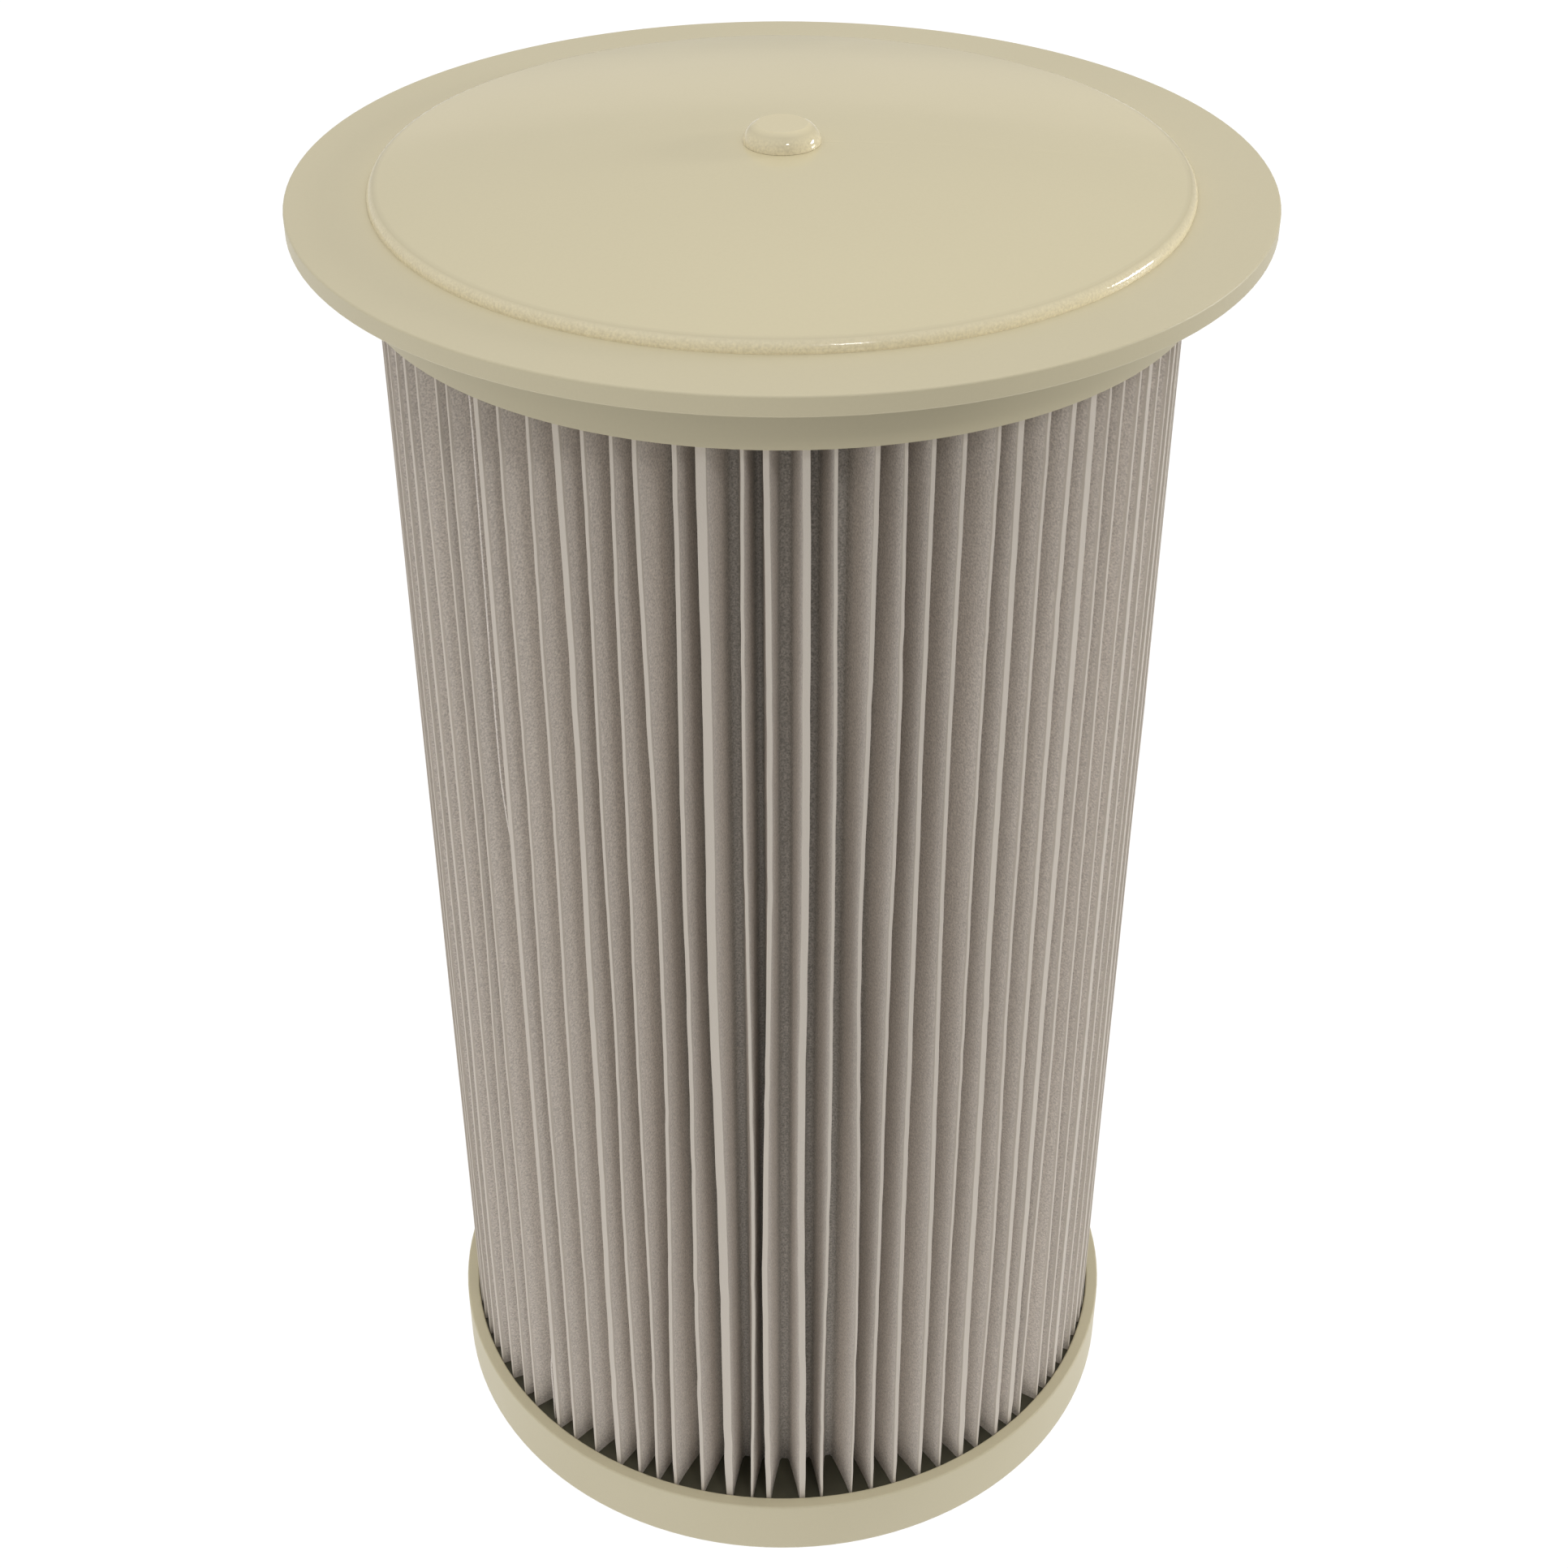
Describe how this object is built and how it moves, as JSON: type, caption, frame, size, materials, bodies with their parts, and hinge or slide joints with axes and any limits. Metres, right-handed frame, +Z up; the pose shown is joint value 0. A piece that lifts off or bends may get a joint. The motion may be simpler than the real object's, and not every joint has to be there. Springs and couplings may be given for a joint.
{
  "type": "filter cartridge",
  "caption": "Closed-top pleated filter cartridge with a wide hanging flange, a domed cover plate, a perforated core and an outlet bore in its bottom cap.",
  "frame": {"origin": "centre of the bottom cap's underside, which the cartridge stands on", "axes": "+Z up the cartridge's axis towards the flange; X and Y across it, alike in every direction"},
  "size_m": [0.152, 0.152, 0.2561],
  "materials": {
    "cap_plastic": "moulded cream plastic, satin",
    "plate_plastic": "moulded cream plastic, soft gloss",
    "plug_plastic": "moulded cream plastic, glossy",
    "filter_cloth": "spun-bonded polyester cloth, matt, grey-beige",
    "seam_strip": "hot-melt adhesive, matt",
    "potting_compound": "cast urethane, dark olive, satin",
    "net_plastic": "extruded plastic net, off-white",
    "core_plastic": "moulded off-white plastic",
    "seal_rubber": "moulded black rubber, matt"
  },
  "bodies": {
    "root": {"top_end_cap": "cap_plastic", "cover_plate": "plate_plastic", "centre_plug": "plug_plastic", "flange_seal": "seal_rubber", "top_potting": "potting_compound", "pleated_media": "filter_cloth", "media_seam": "seam_strip", "support_net": "net_plastic", "core_section_upper": "core_plastic", "core_section_middle": "core_plastic", "core_section_lower": "core_plastic", "core_coupler_upper": "core_plastic", "core_coupler_lower": "core_plastic", "bottom_potting": "potting_compound", "bottom_end_cap": "cap_plastic", "outlet_collar": "core_plastic", "outlet_seal": "seal_rubber"}
  },
  "joints": []
}
